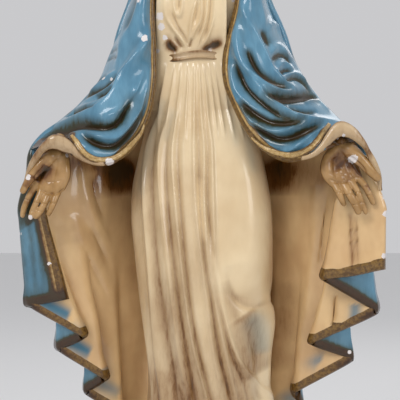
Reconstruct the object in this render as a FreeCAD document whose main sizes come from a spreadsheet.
"""Painted plaster Madonna statue: a standing robed figure with open hands under a wide mantle.

The figure faces -Y and stands on a globe on an eight-sided plinth.  +Z is up, the origin is the centre
of the resting face, and every length is in millimetres.  Heights on the figure are shares of its height
above the globe, so that the figure stretches as one; widths and depths are millimetres.
"""
import FreeCAD, Part
import math
import os

V = FreeCAD.Vector
doc = FreeCAD.newDocument("madonna_statue")

# ---------------------------------------------------------------- driving dimensions
SIZES = [
    ("felt_thick", 2.0), ("felt_inset", 3.0),
    ("plinth_long", 176.0), ("plinth_deep", 152.0), ("plinth_corner", 40.0),
    ("plinth_foot", 13.0), ("plinth_cap", 13.0), ("plinth_step", 9.0), ("plinth_wall", 16.0),
    ("recess_deep", 14.0), ("plinth_round", 3.0),
    ("globe_radius", 74.0), ("globe_sink", 24.0), ("globe_flat_radius", 29.19),
    ("serpent_radius", 5.5),
    ("figure_tall", 534.0), ("seam", 0.3),
    ("pleat_deep", 3.2), ("mantle_thick", 6.5),
    ("hem_height", 120.0), ("hem_slope", 1.73),
    ("sash_tall", 6.4), ("sash_proud", 2.2),
    ("rod_radius", 4.0), ("wad_tall", 26.0), ("scrim_thick", 1.6),
    ("neck_radius", 12.5), ("socket_deep", 22.0), ("dowel_radius", 3.0), ("dowel_long", 40.0),
    ("hand_long", 58.0), ("pin_radius", 2.0), ("pin_long", 26.0), ("wire_radius", 0.6),
    ("foot_long", 44.0), ("foot_radius", 9.0),
]
sheet = doc.addObject("Spreadsheet::Sheet", "sizes")
for row, (alias, value) in enumerate(SIZES, start=1):
    sheet.set("A%d" % row, alias)
    sheet.set("B%d" % row, str(value))
    sheet.setAlias("B%d" % row, alias)
doc.recompute()


def size(alias):
    """A driving dimension, read from the sheet."""
    return float(getattr(sheet, alias))


plinth_floor = size("felt_thick")
plinth_top = plinth_floor + size("plinth_foot") + size("plinth_cap")
globe_centre = plinth_top - size("globe_sink")
foot_z = globe_centre + math.sqrt(size("globe_radius") ** 2 - size("globe_flat_radius") ** 2)
seam = size("seam")


def at(share):
    """Height of a share of the figure, counted from the globe's flat top."""
    return foot_z + share * size("figure_tall")


# ---------------------------------------------------------------- helpers
def labelled(feature, label):
    """Gives a document object the Label that names its file."""
    feature.Label = label
    parts.append(feature)
    return feature


def add_shape(label, shape):
    """A sub-part whose Shape is worked out here."""
    feature = doc.addObject("Part::Feature", label)
    feature.Shape = shape
    return labelled(feature, label)


def curve_at(stations, x):
    """Smooth value through (x, value) stations: monotone pieces with eased slopes."""
    if x <= stations[0][0]:
        return stations[0][1]
    for (x0, y0), (x1, y1) in zip(stations, stations[1:]):
        if x <= x1:
            t = (x - x0) / (x1 - x0)
            before = [s for s in stations if s[0] < x0]
            after = [s for s in stations if s[0] > x1]
            m0 = (y1 - before[-1][1]) / (x1 - before[-1][0]) if before else (y1 - y0) / (x1 - x0)
            m1 = (after[0][1] - y0) / (after[0][0] - x0) if after else (y1 - y0) / (x1 - x0)
            width = x1 - x0
            return ((2 * t ** 3 - 3 * t ** 2 + 1) * y0 + (t ** 3 - 2 * t ** 2 + t) * width * m0
                    + (3 * t ** 2 - 2 * t ** 3) * y1 + (t ** 3 - t ** 2) * width * m1)
    return stations[-1][1]


def ring_solid(rings):
    """A closed solid skinned over closed rings of points; the first and last ring are flat ends.

    The points are the poles of one cubic surface, periodic round the ring and clamped at the ends."""
    rows, count = len(rings), len(rings[0])
    poles = [[V(*rings[j][i]) for j in range(rows)] for i in range(count)]
    degree = min(3, rows - 1)
    spans = rows - degree
    surface = Part.BSplineSurface()
    surface.buildFromPolesMultsKnots(
        poles, [1] * (count + 1), [degree + 1] + [1] * (spans - 1) + [degree + 1],
        [float(i) for i in range(count + 1)], [float(i) for i in range(spans + 1)],
        True, False, 3, degree)
    skin = surface.toShape()
    ends = []
    for v in (0.0, float(spans)):
        edge = surface.vIso(v).toShape()
        ends.append(Part.Face(Part.Wire([edge])))
    shell = Part.makeShell([skin] + ends)
    shell.sewShape()
    solid = Part.Solid(Part.Shell(shell.Faces))
    if solid.Volume < 0:
        solid.reverse()
    return solid


def box(x0, x1, y0, y1, z0, z1):
    """A block between two corners."""
    return Part.makeBox(x1 - x0, y1 - y0, z1 - z0, V(x0, y0, z0))


def signed_power(value, power):
    """|value|^power with the sign of value."""
    return math.copysign(abs(value) ** power, value)


def origin_plane(body, role):
    """One of a body's own origin planes."""
    return [f for f in body.Origin.OriginFeatures if f.Role == role][0]


parts = []


# ---------------------------------------------------------------- plinth, felt and globe
def octagon_sketch(body, name, inset, height_expression):
    """An eight-sided outline drawn from the sheet's sizes, on a plane held above the resting face."""
    sketch = body.newObject("Sketcher::SketchObject", name)
    sketch.AttachmentSupport = [(origin_plane(body, "XY_Plane"), "")]
    sketch.MapMode = "FlatFace"
    sketch.setExpression(".AttachmentOffset.Base.z", height_expression)
    half_x = size("plinth_long") / 2 - inset
    half_y = size("plinth_deep") / 2 - inset
    cut = size("plinth_corner") - inset
    corners = [(half_x, -half_y + cut), (half_x, half_y - cut), (half_x - cut, half_y),
               (-half_x + cut, half_y), (-half_x, half_y - cut), (-half_x, -half_y + cut),
               (-half_x + cut, -half_y), (half_x - cut, -half_y)]
    for (x0, y0), (x1, y1) in zip(corners, corners[1:] + corners[:1]):
        sketch.addGeometry(Part.LineSegment(V(x0, y0, 0), V(x1, y1, 0)), False)
    return sketch


def padded_octagon(body, name, inset, height_expression, length_expression):
    """Pads the eight-sided outline upwards."""
    sketch = octagon_sketch(body, name + "_outline", inset, height_expression)
    pad = body.newObject("PartDesign::Pad", name)
    pad.Profile = sketch
    pad.setExpression("Length", length_expression)
    return pad


felt = doc.addObject("PartDesign::Body", "felt_pad")
padded_octagon(felt, "felt_sheet", size("felt_inset"), "0", "sizes.felt_thick")
labelled(felt, "felt_pad")

plinth = doc.addObject("PartDesign::Body", "plinth")
padded_octagon(plinth, "foot_step", 0.0, "sizes.felt_thick", "sizes.plinth_foot")
doc.recompute()
padded_octagon(plinth, "cap_step", size("plinth_step"),
               "sizes.felt_thick + sizes.plinth_foot", "sizes.plinth_cap")
doc.recompute()
recess_outline = octagon_sketch(plinth, "recess_outline", size("plinth_wall"), "sizes.felt_thick")
recess = plinth.newObject("PartDesign::Pocket", "recess")
recess.Profile = recess_outline
recess.Reversed = True
recess.setExpression("Length", "sizes.recess_deep")
doc.recompute()
top_edges = ["Edge%d" % (i + 1) for i, e in enumerate(plinth.Shape.Edges)
             if abs(e.BoundBox.ZMin - plinth_top) < 0.01 and e.BoundBox.ZLength < 0.01]
rounding = plinth.newObject("PartDesign::Fillet", "cap_rounding")
rounding.Base = (recess, top_edges)
rounding.setExpression("Radius", "sizes.plinth_round")
doc.recompute()
rod_hole = plinth.newObject("Sketcher::SketchObject", "rod_hole_outline")
rod_hole.AttachmentSupport = [(origin_plane(plinth, "XY_Plane"), "")]
rod_hole.MapMode = "FlatFace"
rod_hole.addGeometry(Part.Circle(V(0, 0, 0), V(0, 0, 1), size("rod_radius")), False)
rod_bore = plinth.newObject("PartDesign::Pocket", "rod_bore")
rod_bore.Profile = rod_hole
rod_bore.Reversed = True
rod_bore.Type = "ThroughAll"
plinth.Tip = rod_bore
labelled(plinth, "plinth")

globe = doc.addObject("PartDesign::Body", "globe")
globe_profile = globe.newObject("Sketcher::SketchObject", "globe_profile")
globe_profile.AttachmentSupport = [(origin_plane(globe, "XZ_Plane"), "")]
globe_profile.MapMode = "FlatFace"
low_radius = math.sqrt(size("globe_radius") ** 2 - size("globe_sink") ** 2)
top_radius = size("globe_flat_radius")
mid_angle = 0.5 * (math.atan2(size("globe_sink"), low_radius) + math.atan2(foot_z - globe_centre, top_radius))
rim_low, rim_top = V(low_radius, plinth_top, 0), V(top_radius, foot_z, 0)
rim_mid = V(size("globe_radius") * math.cos(mid_angle),
            globe_centre + size("globe_radius") * math.sin(mid_angle), 0)
rod = size("rod_radius")
globe_profile.addGeometry(Part.Arc(rim_low, rim_mid, rim_top), False)
globe_profile.addGeometry(Part.LineSegment(rim_top, V(rod, foot_z, 0)), False)
globe_profile.addGeometry(Part.LineSegment(V(rod, foot_z, 0), V(rod, plinth_top, 0)), False)
globe_profile.addGeometry(Part.LineSegment(V(rod, plinth_top, 0), rim_low), False)
globe_turn = globe.newObject("PartDesign::Revolution", "globe_turn")
globe_turn.Profile = globe_profile
globe_turn.ReferenceAxis = (globe_profile, ["V_Axis"])
globe_turn.Angle = 360.0
labelled(globe, "globe")


# ---------------------------------------------------------------- robe: body sections from hem to neck
# (share of the figure's height, half-width on -X, half-width on +X, depth to the front, depth to the back)
BODY = [
    (0.000, 62, 60, 52, 34), (0.035, 56, 58, 48, 35), (0.135, 42, 55, 44, 36), (0.240, 43, 56, 45, 35),
    (0.340, 49, 56, 44, 34), (0.425, 52, 54, 40, 32), (0.500, 46, 46, 34, 29), (0.570, 37, 37, 28, 25),
    (0.625, 33, 33, 25, 22), (0.645, 33, 33, 25, 22), (0.690, 38, 37, 30, 23), (0.730, 42, 41, 31, 24),
    (0.775, 40, 40, 27, 24), (0.800, 31, 31, 21, 21), (0.815, 19, 19, 16, 16),
]
FULLNESS = 2.6          # how square a body section is, 2 being an ellipse
# Folds on the front: how far each reaches to either side, then (share, x, height) from the hem upwards.
# Eight pleats, the thigh, two valleys and the two side panels of the bodice.
FOLDS = [
    (3.2, [(0.0, -38, 2), (0.09, -34, 3), (0.184, -37, 3), (0.262, -43, 3), (0.335, -49, 3),
           (0.427, -51, 3), (0.51, -46, 3), (0.56, -36, 2), (0.61, -27, 0)]),
    (3.0, [(0.0, -25, 2), (0.09, -25, 4), (0.184, -28, 4), (0.262, -35, 4), (0.335, -38, 4),
           (0.427, -42, 4), (0.51, -41, 3), (0.56, -30, 2), (0.61, -22, 0)]),
    (2.8, [(0.0, 4, 2), (0.09, 0, 3), (0.184, -12, 3), (0.262, -20, 3), (0.335, -24, 3),
           (0.427, -30, 3), (0.51, -31, 3), (0.56, -23, 2), (0.61, -17, 0)]),
    (2.4, [(0.0, 18, 2), (0.09, 13, 3), (0.184, 0, 3), (0.262, -9, 3), (0.335, -14, 3),
           (0.427, -19, 3), (0.51, -21, 3), (0.56, -16, 2), (0.61, -12, 0)]),
    (3.8, [(0.0, 25, 2), (0.09, 19, 3), (0.184, 4, 3), (0.262, -3, 3), (0.335, -8, 3),
           (0.427, -11, 3), (0.51, -12, 2), (0.56, -11, 1), (0.61, -9, 0)]),
    (2.2, [(0.0, 32, 2), (0.09, 23, 2.6), (0.184, 13, 2.6), (0.262, 7, 2.6), (0.335, 1.5, 2.6),
           (0.427, -4, 2.6), (0.51, -5, 2.6), (0.56, -5, 2), (0.61, -4, 0)]),
    (2.4, [(0.0, 43, 2), (0.09, 36, 3), (0.184, 19, 3), (0.262, 10, 3), (0.335, 6, 3),
           (0.427, 3, 3), (0.51, 3, 3), (0.56, 1, 2), (0.61, 0, 0)]),
    (2.6, [(0.0, 58, 2), (0.09, 55, 3), (0.184, 34, 3), (0.262, 20, 3), (0.335, 14, 3),
           (0.427, 10, 3), (0.51, 9, 3), (0.56, 6, 2), (0.61, 5, 0)]),
    (15.0, [(0.27, 33, 0), (0.33, 37, 4), (0.41, 38, 6), (0.48, 33, 6), (0.56, 22, 1), (0.6, 20, 0)]),
    (1.6, [(0.09, -14, -2), (0.2, -24, -2), (0.335, -33, -3), (0.427, -37, -3), (0.5, -36, -2),
           (0.58, -26, 0)]),
    (1.4, [(0.09, 28, -2), (0.2, 14, -2), (0.335, 4, -2), (0.427, 0, -2), (0.5, -1, -2),
           (0.58, -3, 0)]),
    (4.6, [(0.55, -36, 0), (0.6, -31, 3), (0.62, -31, 1.5), (0.65, -31, 1.5), (0.68, -31, 4.5),
           (0.76, -31, 4.5), (0.8, -29, 0)]),
    (4.6, [(0.55, 27, 0), (0.6, 21, 3), (0.62, 20, 1.5), (0.65, 20, 1.5), (0.68, 21, 4.5),
           (0.76, 22, 4.5), (0.8, 21, 0)]),
]
FOLD_DRAWN = 2.7        # the pleat depth that the fold table is drawn at
RING_POINTS = 168


def body_section(share, grow=0.0):
    """Half-widths and depths of the body at a share of the height, grown by a margin."""
    return [curve_at([(s[0], s[k]) for s in BODY], share) + grow for k in (1, 2, 3, 4)]


def body_point(share, turn, grow=0.0):
    """A point on the smooth body: turn 0 is +X, a quarter turn is the back."""
    left, right, front, back = body_section(share, grow)
    c, s = math.cos(turn), math.sin(turn)
    wide, deep = right if c > 0 else left, back if s > 0 else front
    reach = (abs(c / wide) ** FULLNESS + abs(s / deep) ** FULLNESS) ** (-1 / FULLNESS)
    return reach * c, reach * s


def pleat(share, x, y):
    """How far the folds stand out of the smooth body at a point on its front."""
    if y > 0:
        return 0.0
    out = 0.0
    for wide, line in FOLDS:
        if line[0][0] <= share <= line[-1][0]:
            away = (x - curve_at([(p[0], p[1]) for p in line], share)) / wide
            out += curve_at([(p[0], p[2]) for p in line], share) * math.exp(-away * away)
    return out * size("pleat_deep") / FOLD_DRAWN * min(1.0, -y / 8.0)


BODY_SHARES = [0.0, 0.02, 0.05, 0.09, 0.135, 0.18, 0.225, 0.27, 0.315, 0.36, 0.405, 0.45, 0.49, 0.53,
               0.57, 0.6, 0.622, 0.645, 0.67, 0.70, 0.73, 0.76, 0.785, 0.803, 0.815]


def folded_point(share, turn, grow):
    """A point on the body with its folds."""
    x, y = body_point(share, turn, grow)
    stretch = 1 + pleat(share, x, y) / math.hypot(x, y)
    return x * stretch, y * stretch


def body_rings(grow):
    """Closed rings of the folded body from hem to neck, grown by a margin."""
    rings = []
    for share in BODY_SHARES:
        ring = [folded_point(share, 2 * math.pi * i / RING_POINTS, grow) for i in range(RING_POINTS)]
        rings.append([(x, y, at(share)) for x, y in ring])
    return rings


neck_seat = at(BODY_SHARES[-1])
core = ring_solid(body_rings(0.0))            # the space that sleeves and mantle are fitted round
# the hollow of the slip-cast figure: an oval cone (share, half-width, half-depth)
HOLLOW = [(0.0, 44, 26), (0.2, 36, 27), (0.42, 34, 22), (0.6, 20, 14), (0.7, 16, 12)]


def hollow(grow, low, high):
    """The hollow inside the figure between two shares of its height, as a solid."""
    shares = [low + (high - low) * i / 8.0 for i in range(9)]
    rings = []
    for share in shares:
        wide = curve_at([(a[0], a[1]) for a in HOLLOW], share) + grow
        deep = curve_at([(a[0], a[2]) for a in HOLLOW], share) + grow
        turns = [2 * math.pi * i / 32 for i in range(32)]
        rings.append([(wide * math.cos(turn), -3 + deep * math.sin(turn), at(share)) for turn in turns])
    return ring_solid(rings)


HOLLOW_TOP = 0.70


# ---------------------------------------------------------------- feet and serpent on the globe
def on_globe(turn, lean, out):
    """A point above the globe: turn about Z from the front, lean from upright, distance from the surface."""
    reach = size("globe_radius") + out
    return V(reach * math.sin(lean) * math.sin(turn), -reach * math.sin(lean) * math.cos(turn),
             globe_centre + reach * math.cos(lean))


def foot_rings(side, grow):
    """Rings across a bare foot that comes out from under the hem, its sole on the globe."""
    turn = math.radians(14 if side == "left" else -16)
    start, length = math.radians(24), size("foot_long") / size("globe_radius")
    rings = []
    for share, half, tall in ((0.0, 0.75, 1.0), (0.2, 0.95, 1.05), (0.5, 1.05, 0.85), (0.75, 1.15, 0.62),
                              (0.92, 1.05, 0.5), (1.0, 0.7, 0.36)):
        lean = start + length * share
        across = V(math.cos(turn), math.sin(turn), 0)
        low, high = on_globe(turn, lean, -grow), on_globe(turn, lean, size("foot_radius") * tall * 1.3 + grow)
        middle, up = (low + high) * 0.5, (high - low) * 0.5
        ring = []
        for i in range(24):
            c, d = math.cos(2 * math.pi * i / 24), math.sin(2 * math.pi * i / 24)
            ring.append(tuple(middle + across * ((size("foot_radius") * half + grow) * c) + up * d))
        rings.append(ring)
    return rings


globe_clear = Part.makeSphere(size("globe_radius") + seam, V(0, 0, globe_centre))
for side in ("right", "left"):
    foot = ring_solid(foot_rings(side, 0.0)).cut(globe_clear).cut(hollow(seam, 0.0, HOLLOW_TOP))
    add_shape(side + "_foot", foot)

serpent_out = size("serpent_radius") + seam
# The serpent's path: (turn from the front, lean from upright, share of the full radius)
SERPENT = [(-142, 60, 0.25), (-128, 61, 0.5), (-110, 63, 0.75), (-90, 63, 0.9), (-62, 60, 1.0),
           (-38, 59, 1.0), (-14, 61, 1.0), (8, 61, 1.0), (28, 59, 0.95), (44, 58, 0.85), (54, 57, 0.95),
           (62, 56, 1.1), (69, 55, 0.8), (73, 55, 0.4)]


def serpent_rings():
    """Round rings along the serpent's path over the globe."""
    steps = 60
    points = []
    for j in range(steps + 1):
        turn = SERPENT[0][0] + (SERPENT[-1][0] - SERPENT[0][0]) * j / steps
        lean = curve_at([(s[0], s[1]) for s in SERPENT], turn)
        share = curve_at([(s[0], s[2]) for s in SERPENT], turn)
        radius = size("serpent_radius") * share
        points.append((on_globe(math.radians(turn), math.radians(lean), radius + seam), radius))
    rings = []
    for j, (p, radius) in enumerate(points):
        along = (points[min(j + 1, steps)][0] - points[max(j - 1, 0)][0]).normalize()
        up = (p - V(0, 0, globe_centre)).normalize()
        side_way = up.cross(along).normalize()
        up = along.cross(side_way)
        rings.append([tuple(p + side_way * (radius * math.cos(2 * math.pi * i / 16))
                            + up * (radius * math.sin(2 * math.pi * i / 16))) for i in range(16)])
    return rings


add_shape("serpent", ring_solid(serpent_rings()))


# ---------------------------------------------------------------- robe, socket for the neck
lower_wad_top = size("wad_tall") / size("figure_tall")
upper_wad_low = HOLLOW_TOP - size("wad_tall") / size("figure_tall")
hollow_space = hollow(0.0, 0.0, HOLLOW_TOP)
rod_top = at(HOLLOW_TOP)
rod_space = Part.makeCylinder(rod, rod_top, V(0, 0, 0))
socket = Part.makeCylinder(size("neck_radius") + seam, size("socket_deep") + seam,
                           V(0, 0, neck_seat - size("socket_deep") - seam))
dowel_low = neck_seat - size("socket_deep") - size("dowel_long") / 2
dowel_space = Part.makeCylinder(size("dowel_radius"), size("dowel_long"), V(0, 0, dowel_low))
robe_shape = ring_solid(body_rings(-seam)).cut(hollow_space).cut(socket).cut(dowel_space)
for side in ("right", "left"):
    robe_shape = robe_shape.cut(ring_solid(foot_rings(side, seam)))
add_shape("robe", robe_shape)

# ---------------------------------------------------------------- what is inside the hollow figure
floor_slab = box(-200, 200, -200, 200, foot_z, at(lower_wad_top))
add_shape("lower_wad", hollow_space.common(floor_slab).cut(rod_space))
top_slab = box(-200, 200, -200, 200, at(upper_wad_low), at(HOLLOW_TOP) + 1)
add_shape("upper_wad", hollow_space.common(top_slab).cut(rod_space))
middle_slab = box(-200, 200, -200, 200, at(lower_wad_top), at(upper_wad_low))
inner_space = hollow(-size("scrim_thick"), 0.0, HOLLOW_TOP)
add_shape("scrim_lining", hollow_space.common(middle_slab).cut(inner_space))

rod_feature = doc.addObject("Part::Cylinder", "armature_rod")
rod_low = plinth_floor + size("recess_deep")
rod_feature.setExpression("Radius", "sizes.rod_radius")
rod_feature.Height = rod_top - rod_low
rod_feature.Placement.Base = V(0, 0, rod_low)
labelled(rod_feature, "armature_rod")

dowel_feature = doc.addObject("Part::Cylinder", "neck_dowel")
dowel_feature.setExpression("Radius", "sizes.dowel_radius")
dowel_feature.setExpression("Height", "sizes.dowel_long")
dowel_feature.Placement.Base = V(0, 0, dowel_low)
labelled(dowel_feature, "neck_dowel")


# ---------------------------------------------------------------- mantle: back shell and spread wings
# The mantle is one strip of cloth.  Its plan is a line of knots from the free edge at -X round the back to
# the free edge at +X, given at five levels; the lowest level lies on the slanting hem.
HEM_KNOTS = [(-102, -18), (-133, -14), (-87, -3), (-112, 5), (-70, 15), (-89, 23), (-56, 32), (-70, 39),
             (-38, 50), (0, 56), (34, 52), (62, 44), (48, 38), (88, 29), (70, 21), (118, 9), (83, 1),
             (137, -12), (95, -26), (119, -30), (142, -36)]
HAND_KNOTS = [(-119, -34), (-140, -30), (-126, -22), (-113, -15), (-100, -7), (-88, 1), (-75, 12), (-62, 22),
              (-40, 36), (0, 43),
              (36, 38), (56, 27), (68, 18), (80, 8), (92, 0), (104, -9), (114, -17), (124, -25), (132, -31),
              (138, -35), (142, -39)]
WRIST_KNOTS = [(-127, -33), (-126, -28), (-118, -19), (-108, -9), (-96, 1), (-82, 13), (-68, 23), (-54, 31),
               (-34, 39), (0, 43),
               (32, 39), (52, 31), (64, 24), (76, 15), (88, 6), (98, -3), (107, -11), (115, -18), (121, -25),
               (125, -29), (126, -34)]
ELBOW_KNOTS = [(-77, -4), (-77, 2), (-75, 9), (-71, 16), (-65, 22), (-58, 27), (-48, 32), (-36, 36),
               (-20, 39), (0, 40), (18, 39), (34, 36), (46, 32), (56, 28), (63, 23), (70, 18), (76, 12),
               (80, 7), (82, 3), (82, 0), (82, -4)]
CHEST_KNOTS = [(-56, 0), (-55, 4), (-53, 8), (-50, 13), (-46, 18), (-41, 23), (-34, 27), (-25, 31), (-13, 33),
               (0, 34),
               (12, 33), (24, 31), (33, 27), (40, 23), (45, 18), (49, 13), (52, 9), (54, 6), (55, 4),
               (55, 2), (55, 0)]
SHOULDER_KNOTS = [(-36, 0), (-36, 3), (-35, 6), (-34, 10), (-32, 14), (-29, 18), (-25, 21), (-19, 24),
                  (-10, 26), (0, 27), (9, 26), (17, 24), (24, 21), (28, 18), (31, 14), (34, 11), (35, 8),
                  (36, 5), (36, 3), (36, 2), (36, 0)]
WRIST, HAND, ELBOW, CHEST, SHOULDER = 0.505, 0.42, 0.615, 0.72, 0.815
WAIST_SPREAD = 0.8      # the share of the height below which the back's folds fan out
hem_height, hem_slope = at(0.0) + size("hem_height"), size("hem_slope")
FOLD_GROWTH = 1.7       # how late the hem folds open on their way down


def strip_outline(knots, thick):
    """Closed outline of a strip of even thickness along a line of knots: out on one face, back on the other.

    At each knot the two faces meet on the bisector; inside a sharp turn they meet further from the knot."""
    left, right = [], []
    for i, (x, y) in enumerate(knots):
        x0, y0 = knots[max(i - 1, 0)]
        x1, y1 = knots[min(i + 1, len(knots) - 1)]
        a0 = math.atan2(y - y0, x - x0) if i else math.atan2(y1 - y, x1 - x)
        a1 = math.atan2(y1 - y, x1 - x) if i < len(knots) - 1 else a0
        turn = (a1 - a0 + math.pi) % (2 * math.pi) - math.pi
        middle = a0 + turn / 2
        inside = min(thick / 2 / max(math.cos(turn / 2), 0.05), 2.6 * thick)
        outside = min(thick / 2 / max(math.cos(turn / 2), 0.05), 0.62 * thick)
        normal = (-math.sin(middle), math.cos(middle))
        on_left, on_right = (inside, outside) if turn > 0 else (outside, inside)
        left.append((x + normal[0] * on_left, y + normal[1] * on_left))
        right.append((x - normal[0] * on_right, y - normal[1] * on_right))
    outline = []
    for side in (left, right[::-1]):
        for (x0, y0), (x1, y1) in zip(side, side[1:]):
            outline.append((x0, y0))
            outline.append((x0 + 0.12 * (x1 - x0), y0 + 0.12 * (y1 - y0)))
            outline.append((x0 + 0.88 * (x1 - x0), y0 + 0.88 * (y1 - y0)))
        outline.append(side[-1])
    return outline


def past_knot(knots, i, t):
    """Smooth place a part t of the way from knot i to the next, from the four knots about it."""
    before, after = knots[max(i - 1, 0)], knots[min(i + 2, len(knots) - 1)]
    return [b + 0.5 * t * (c - a + t * (2 * a - 5 * b + 4 * c - d + t * (3 * (b - c) + d - a)))
            for a, b, c, d in zip(before, knots[i], knots[min(i + 1, len(knots) - 1)], after)]


# Long folds down the back: (place, height, reach) at the width of the shoulders
BACK_FOLDS = [(-46, 3.4, 9), (-30, -2.4, 6), (-14, 3.0, 8), (2, -2.8, 6), (17, 3.4, 9), (34, -2.2, 6),
              (47, 3.0, 7)]
# Places between knots, counted from each knot, where the row is made finer for these folds
BACK_FINER = {7: (0, 0.6, 0.8), 8: (0, 0.25, 0.5, 0.75), 9: (0, 0.25, 0.5, 0.75), 10: (0, 0.2, 0.4)}


def with_back_folds(knots, share):
    """A row of knots, closer together across the back and raised into long folds."""
    down = min(1.0, max(0.0, (WAIST_SPREAD - share) / WAIST_SPREAD))
    fan = 0.45 + 0.75 * down * down * (3 - 2 * down)
    fade = min(1.0, max(0.0, (WAIST_SPREAD - 0.02 - share) / 0.12))
    row = []
    for i, knot in enumerate(knots):
        if i not in BACK_FINER:
            row.append(knot)
            continue
        for t in BACK_FINER[i]:
            x, y = past_knot(knots, i, t)
            fold = sum(height * math.exp(-((x / fan - place) / wide) ** 2)
                       for place, height, wide in BACK_FOLDS)
            row.append((x, y + fade * fold))
    return row


def between(low, high, share, power=1.0):
    """A row of knots part of the way from one row to another."""
    part = share ** power
    return [(a[0] + (b[0] - a[0]) * part, a[1] + (b[1] - a[1]) * part) for a, b in zip(low, high)]


def mantle_rings(thick):
    """Rings of the mantle from the slanting hem up to the shoulders."""
    rings = []
    for down in (1.0, 0.93, 0.8, 0.6, 0.4, 0.2):
        knots = between(HAND_KNOTS, HEM_KNOTS, down, FOLD_GROWTH)
        ring = []
        share = HAND + ((hem_height - foot_z) / size("figure_tall") - HAND) * down
        for x, y in strip_outline(with_back_folds(knots, share), thick):
            hem = hem_height - hem_slope * y
            ring.append((x, y, at(HAND) + (hem - at(HAND)) * down))
        rings.append(ring)
    for knots, share in ((HAND_KNOTS, HAND), (between(HAND_KNOTS, WRIST_KNOTS, 0.5), (HAND + WRIST) / 2),
                         (WRIST_KNOTS, WRIST), (between(WRIST_KNOTS, ELBOW_KNOTS, 0.55), 0.56),
                         (ELBOW_KNOTS, ELBOW), (between(ELBOW_KNOTS, CHEST_KNOTS, 0.5), 0.67),
                         (CHEST_KNOTS, CHEST), (between(CHEST_KNOTS, SHOULDER_KNOTS, 0.22), 0.755),
                         (between(CHEST_KNOTS, SHOULDER_KNOTS, 0.5), 0.785),
                         (between(CHEST_KNOTS, SHOULDER_KNOTS, 0.8), 0.803), (SHOULDER_KNOTS, SHOULDER)):
        rings.append([(x, y, at(share)) for x, y in strip_outline(with_back_folds(knots, share), thick)])
    return rings


SASH_AT = 0.6355        # share of the height at the middle of the sash


def sash_space(margin):
    """The band round the waist, grown by a margin, with the body inside it."""
    half, middle = size("sash_tall") / 2 + margin, at(SASH_AT)
    rings = []
    for z, proud in ((-half, 0.55), (-half * 0.8, 1.0), (half * 0.8, 1.0), (half, 0.55)):
        ring = [folded_point(SASH_AT, 2 * math.pi * i / RING_POINTS, size("sash_proud") * proud + margin)
                for i in range(RING_POINTS)]
        rings.append([(x, y, middle + z) for x, y in ring])
    return ring_solid(rings)


add_shape("sash", sash_space(0.0).cut(core))
sash_clear = sash_space(seam)
mantle_shape = ring_solid(mantle_rings(size("mantle_thick"))).cut(core).cut(sash_clear)
add_shape("mantle", mantle_shape)

# ---------------------------------------------------------------- sleeves: the mantle's fronts over the arms
# Sections along the arm from shoulder to wrist: silhouette (x, share), free edge (x, share), y of the
# silhouette, y of the edge, and how far the middle bulges forward of the line between them.
RIGHT_SLEEVE = [
    ((-35, 0.813), (-23, 0.803), -1, -15, 5), ((-45, 0.792), (-26, 0.780), -1, -20, 8),
    ((-52, 0.757), (-31, 0.750), -1, -26, 11),
    ((-56, 0.715), (-37, 0.715), -1, -32, 14), ((-72, 0.643), (-36, 0.640), -2, -33, 17),
    ((-80, 0.605), (-36, 0.600), -5, -35, 19), ((-93, 0.573), (-40, 0.553), -10, -40, 21),
    ((-105, 0.552), (-49, 0.516), -15, -46, 20), ((-115, 0.535), (-65, 0.485), -21, -50, 17),
    ((-123, 0.518), (-81, 0.481), -27, -52, 14), ((-130, 0.500), (-94, 0.503), -33, -52, 10),
]
LEFT_SLEEVE = [
    ((35, 0.813), (23, 0.803), -1, -15, 5), ((45, 0.792), (24, 0.780), -1, -20, 8),
    ((52, 0.757), (27, 0.750), -1, -26, 11),
    ((55, 0.715), (29, 0.715), -1, -32, 14), ((73, 0.643), (20, 0.640), -2, -33, 17),
    ((83, 0.608), (20, 0.600), -5, -35, 19), ((91, 0.583), (26, 0.568), -10, -40, 21),
    ((101, 0.562), (36, 0.530), -15, -46, 20), ((109, 0.545), (50, 0.500), -21, -50, 17),
    ((117, 0.532), (68, 0.484), -27, -52, 14), ((127, 0.508), (84, 0.490), -33, -52, 10),
]
SLEEVE_THICK = 8.0      # of the hanging edge
SLEEVE_ACROSS = 28
SLEEVE_STEPS = 6        # rings from one section to the next
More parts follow.
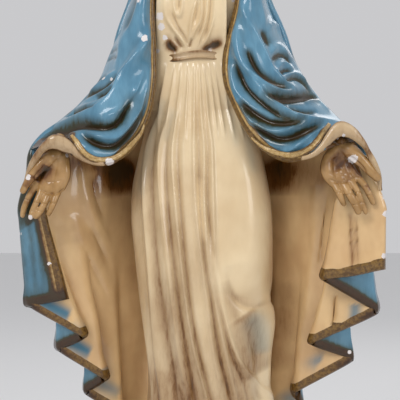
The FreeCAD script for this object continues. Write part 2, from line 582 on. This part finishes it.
# The main folds on each sleeve, seen from the front: (height, reach, [(x, share of the figure), ...])
SLEEVE_FOLDS = {
    "right": [
        (5.0, 4.2, [(-40, 0.681), (-44, 0.648), (-52, 0.622), (-59, 0.601), (-64, 0.579), (-72, 0.562),
                    (-83, 0.551), (-100, 0.541), (-113, 0.535)]),
        (4.0, 3.6, [(-38, 0.620), (-42, 0.585), (-46, 0.558), (-52, 0.539), (-57, 0.526), (-64, 0.516),
                    (-72, 0.515), (-84, 0.522)]),
        (2.4, 4.0, [(-46, 0.755), (-46, 0.716), (-52, 0.680), (-60, 0.644), (-65, 0.614)]),
        (-4.6, 3.4, [(-110, 0.524), (-100, 0.529), (-89, 0.533), (-69, 0.530), (-60, 0.537), (-54, 0.558),
                     (-49, 0.578)]),
        (-3.0, 3.0, [(-88, 0.512), (-77, 0.505), (-69, 0.502), (-62, 0.506), (-54, 0.519), (-47, 0.540)]),
    ],
    "left": [
        (4.6, 3.6, [(26, 0.672), (30, 0.627), (38, 0.602), (44, 0.586), (51, 0.571), (59, 0.558),
                    (68, 0.547), (79, 0.542), (92, 0.541), (105, 0.541)]),
        (3.6, 3.4, [(28, 0.688), (31, 0.645), (38, 0.608), (45, 0.595), (52, 0.586), (62, 0.580),
                    (72, 0.584)]),
        (3.4, 3.4, [(26, 0.590), (30, 0.570), (36, 0.549), (43, 0.534), (52, 0.525), (62, 0.524),
                    (71, 0.531), (80, 0.538)]),
        (3.4, 3.6, [(30, 0.726), (33, 0.698), (38, 0.675), (44, 0.655), (49, 0.636), (54, 0.614),
                    (60, 0.602), (74, 0.587)]),
        (-4.4, 3.4, [(46, 0.580), (55, 0.572), (65, 0.571), (77, 0.576), (86, 0.579), (94, 0.575)]),
        (-3.4, 3.2, [(42, 0.526), (54, 0.513), (65, 0.512), (79, 0.523), (93, 0.536)]),
        (-2.6, 2.8, [(35, 0.558), (43, 0.545), (54, 0.536), (70, 0.536), (79, 0.541)]),
    ],
}


def from_line(x, z, line):
    """Distance in the front view from a place to a line of (x, share) points."""
    nearest = 1e9
    for (x0, share0), (x1, share1) in zip(line, line[1:]):
        across, up = x1 - x0, at(share1) - at(share0)
        part = ((x - x0) * across + (z - at(share0)) * up) / (across * across + up * up)
        part = min(1.0, max(0.0, part))
        nearest = min(nearest, math.hypot(x - x0 - part * across, z - at(share0) - part * up))
    return nearest


def sleeve_fold(side, x, z):
    """How far the folds stand out of the smooth sleeve at a place in the front view."""
    out = sum(height * math.exp(-(from_line(x, z, line) / reach) ** 2)
              for height, reach, line in SLEEVE_FOLDS[side])
    return out * size("pleat_deep") / FOLD_DRAWN


def sleeve_rings(side, sections):
    """Closed rings: forward over the arm from silhouette to free edge, then back behind it."""
    flat = [(a[0], a[1], b[0], b[1], sy, ey, bulge) for a, b, sy, ey, bulge in sections]
    places = [past_knot(flat, i, k / SLEEVE_STEPS) for i in range(len(flat) - 1) for k in range(SLEEVE_STEPS)]
    places.append(flat[-1])
    rings = []
    for j, (sx, ss, ex, es, sy, ey, bulge) in enumerate(places):
        front, back = [], []
        ends = min(1.0, j / (2.0 * SLEEVE_STEPS), (len(places) - 1 - j) / (1.5 * SLEEVE_STEPS))
        for i in range(SLEEVE_ACROSS + 1):
            t = i / SLEEVE_ACROSS
            x, z = sx + (ex - sx) * t, at(ss + (es - ss) * t)
            y = sy + (ey - sy) * math.sin(t * math.pi / 2)
            fold = sleeve_fold(side, x, z) * ends * min(1.0, 6 * t, 6 * (1 - t))
            front.append((x, y - bulge * math.sin(math.pi * t) ** 0.8 - fold, z))
            back.append((x, sy + (ey + SLEEVE_THICK - sy) * t ** 1.5, z))
        rings.append(front + back[::-2][:-1])
    return rings


def flattened_ends(rings):
    """Puts the first and last ring each on the plane through three of its own points."""
    for end in (0, -1):
        ring = rings[end]
        a, b, c = V(*ring[0]), V(*ring[SLEEVE_ACROSS]), V(*ring[SLEEVE_ACROSS // 2])
        normal = (b - a).cross(c - a).normalize()
        rings[end] = [tuple(V(*p) - normal * normal.dot(V(*p) - a)) for p in ring]
    return rings


mantle_space = ring_solid(mantle_rings(size("mantle_thick") + 2 * seam))
WRISTS = {"right": V(-112, -43, at(0.502)), "left": V(106, -43, at(0.505))}
FINGERS_TO = {"right": V(-0.24, -0.10, -0.965), "left": V(0.36, -0.10, -0.93)}


def oriented(shape, where, along, facing):
    """Moves a shape made along +X with its palm to -Z: +X to the fingers, -Z to the viewer."""
    x = V(along).normalize()
    z = (V(facing) - x * x.dot(facing)).normalize() * -1
    moved = shape.copy()
    moved.Placement = FreeCAD.Placement(where, FreeCAD.Rotation(x, z.cross(x), z, "XZY"))
    return moved


# ---------------------------------------------------------------- hands: cast round wires, set on wrist pins
# finger: (start along, start across, end along, end across, base radius, tip radius); across is to the thumb
FINGERS = [(29, 8.6, 53, 10.5, 3.0, 2.2), (30, 2.9, 58, 3.6, 3.1, 2.3), (29.5, -2.9, 55, -3.2, 3.0, 2.2),
           (27, -8.4, 46, -10.2, 2.6, 2.0), (8, 7.0, 35, 19.0, 4.0, 2.7)]
HAND_DRAWN = 58.0       # the length that the finger table is drawn at
PALM = [(-8, 6.5, 5.0, 0), (0, 7.2, 5.2, 0), (6, 9.0, 5.6, 0.5), (14, 11.5, 5.8, 1.0), (22, 12.6, 5.2, 0.6),
        (28, 12.2, 4.4, 0.2), (31.5, 10.5, 3.2, 0)]
hand_scale = size("hand_long") / HAND_DRAWN


def capsule(start, end, r0, r1):
    """A tapered finger with round ends, turned about the line from start to end."""
    long, low, high = (end - start).Length, r0 * math.sqrt(0.5), r1 * math.sqrt(0.5)
    profile = Part.Wire([
        Part.Arc(V(-r0, 0, 0), V(-low, low, 0), V(0, r0, 0)).toShape(),
        Part.makeLine(V(0, r0, 0), V(long, r1, 0)),
        Part.Arc(V(long, r1, 0), V(long + high, high, 0), V(long + r1, 0, 0)).toShape(),
        Part.makeLine(V(long + r1, 0, 0), V(-r0, 0, 0))])
    turned = Part.Face(profile).revolve(V(0, 0, 0), V(1, 0, 0), 360)
    turned.Placement = FreeCAD.Placement(start, FreeCAD.Rotation(V(1, 0, 0), end - start))
    return turned


def hand_shape(side):
    """Palm and five fingers, made flat and then turned into place; the thumb points outwards."""
    out = 1 if side == "left" else -1
    k = hand_scale
    rings = []
    for along, half, thick, shift in PALM:
        rings.append([(along * k, out * (half * math.cos(2 * math.pi * i / 16) + shift) * k,
                       thick * math.sin(2 * math.pi * i / 16) * k) for i in range(16)])
    hand = ring_solid(rings)
    wires = []
    for a0, c0, a1, c1, r0, r1 in FINGERS:
        start, end = V(a0 * k, out * c0 * k, 0), V((a1 - r1) * k, out * c1 * k, -1.5 * k)
        hand = hand.fuse(capsule(start, end, r0 * k, r1 * k))
        way = end - start
        begin = start - V(way).normalize() * 6 * k
        wires.append(Part.makeCylinder(size("wire_radius"), way.Length + 6 * k, begin, way))
    return hand, wires


def sleeve_shape(side, sections):
    """The sleeve, fitted round the body and in front of the mantle, with a mouth for the hand."""
    sleeve = ring_solid(flattened_ends(sleeve_rings(side, sections)))
    return sleeve.cut(core).cut(sash_clear).cut(mantle_space)


for side, sections in (("right", RIGHT_SLEEVE), ("left", LEFT_SLEEVE)):
    wrist, along = WRISTS[side], FINGERS_TO[side]
    facing = V(0, -1, 0.12)
    hand, wires = hand_shape(side)
    hand = oriented(hand, wrist, along, facing)
    wires = [oriented(w, wrist, along, facing) for w in wires]
    unit = V(along).normalize()
    pin_start = wrist - unit * (size("pin_long") / 2 + 2)
    pin = Part.makeCylinder(size("pin_radius"), size("pin_long"), pin_start, unit)
    mouth_base = wrist - unit * 10 * hand_scale
    mouth = Part.makeCone(hand_scale * 7.0, hand_scale * 11.0, hand_scale * 22, mouth_base, unit)
    sleeve = sleeve_shape(side, sections).cut(mouth).cut(pin)
    hand_gap = oriented(hand_shape(side)[0], wrist, along, facing)
    sleeve = sleeve.cut(hand_gap)
    add_shape(side + "_sleeve", sleeve)
    for wire in wires:
        hand = hand.cut(wire)
    add_shape(side + "_hand", hand.cut(pin))
    add_shape(side + "_wrist_pin", pin)
    add_shape(side + "_finger_wires", Part.makeCompound(wires))

# ---------------------------------------------------------------- head, hair and veil: nested shells
# (height above the chin, half-width, depth to the front, depth to the back)
HEAD = [(-29.5, 15, 13, 15), (-20, 13, 11, 15), (-10, 13, 12, 17), (-4, 14, 16.5, 19), (0, 15.5, 21.5, 21),
        (7, 18, 23.5, 24), (17, 20.5, 24.5, 27), (28, 22, 25, 28.5), (38, 22.5, 25, 29), (48, 21.5, 23.5, 28),
        (55, 18.5, 20, 24), (60, 12, 13, 17), (62, 6, 6, 9)]
HAIR = [(-29.5, 20, 12, 19), (-18, 19.5, 13, 20), (-4, 21.5, 17, 24), (12, 25, 21.5, 29),
        (28, 26.5, 25, 31.5), (42, 26, 26.5, 31.5), (52, 23.5, 24.5, 28.5), (60, 17, 17.5, 22),
        (65, 9, 9, 13)]
VEIL = [(-29.5, 38, 18, 29), (-17, 33.5, 19, 29.5), (-3, 31.5, 21, 31.5), (13, 31, 24, 34),
        (28, 31, 27, 35.5), (43, 29.5, 29, 35.5), (53, 26.5, 27, 33), (62, 20, 20.5, 27),
        (68, 12, 12, 18), (70, 7, 7, 11)]
NOSE = [(9, 0.0), (14, 3.0), (17, 6.2), (24, 4.4), (31, 2.0), (37, 0.6)]     # (height above the chin, reach)
# face openings: (height above the chin, half-width), closing in a pointed arch
HAIR_OPENING = [(-31, 14.5), (-15, 15), (0, 18), (15, 20), (30, 19), (42, 14), (49, 7), (53, 0)]
VEIL_OPENING = [(-31, 25), (-15, 24), (0, 24.5), (15, 25.5), (30, 25), (43, 20), (52, 12), (58, 0)]
chin = neck_seat + 29.5
HEAD_POINTS = 60


def head_rings(stations, grow, nose=0.0):
    """Rings of a head-shaped shell between its lowest and highest station, grown by a margin."""
    low, high = stations[0][0], stations[-1][0] + grow
    rings = []
    for j in range(25):
        up = low + (high - low) * math.sin(math.pi / 2 * j / 24.0)
        half, front, back = [curve_at([(s[0], s[k]) for s in stations], up - grow) + grow for k in (1, 2, 3)]
        ring = []
        for i in range(HEAD_POINTS):
            c, d = math.cos(2 * math.pi * i / HEAD_POINTS), math.sin(2 * math.pi * i / HEAD_POINTS)
            x = signed_power(c, 0.9) * half
            y = signed_power(d, 0.9) * (back if d > 0 else front)
            if d < 0:
                y -= nose * curve_at(NOSE, up) * math.exp(-(x / 3.4) ** 2)
            ring.append((x, y, chin + up))
        rings.append(ring)
    return rings


def face_opening(outline, back):
    """An arched opening that runs from the front to a depth."""
    right = [V(half, 0, chin + up) for up, half in outline]
    left = [V(-half, 0, chin + up) for up, half in outline[-2::-1]]
    wire = Part.makePolygon(right + left + right[:1])
    prism = Part.Face(wire).extrude(V(0, -60, 0))
    prism.translate(V(0, back, 0))
    return prism


tenon_low = V(0, 0, neck_seat - size("socket_deep"))
neck_tenon = Part.makeCylinder(size("neck_radius"), size("socket_deep"), tenon_low)
head_solid = ring_solid(head_rings(HEAD, 0.0, 1.0)).fuse(neck_tenon).removeSplitter()
add_shape("head", head_solid.cut(dowel_space))
hair_solid = ring_solid(head_rings(HAIR, 0.0))
hair_clear = ring_solid(head_rings(HAIR, seam))
hair_shape = hair_solid.cut(ring_solid(head_rings(HEAD, seam))).cut(face_opening(HAIR_OPENING, -3.0))
add_shape("hair", hair_shape)
veil_shape = ring_solid(head_rings(VEIL, 0.0)).cut(hair_clear).cut(face_opening(VEIL_OPENING, -8.0))
add_shape("veil", veil_shape)


doc.recompute()
os.makedirs("parts", exist_ok=True)
for feature in doc.Objects:
    if "Invalid" in feature.State or "Error" in feature.State:
        raise RuntimeError("%s failed: %s" % (feature.Label, feature.State))
for feature in parts:
    shape = feature.Shape
    if shape.isNull() or not shape.isValid():
        raise RuntimeError("%s has no valid shape" % feature.Label)
    print("%-18s %8.1f cm3  %d solid(s)  %s"
          % (feature.Label, shape.Volume / 1000, len(shape.Solids), shape.BoundBox))
    shape.exportStep("parts/%s.step" % feature.Label)
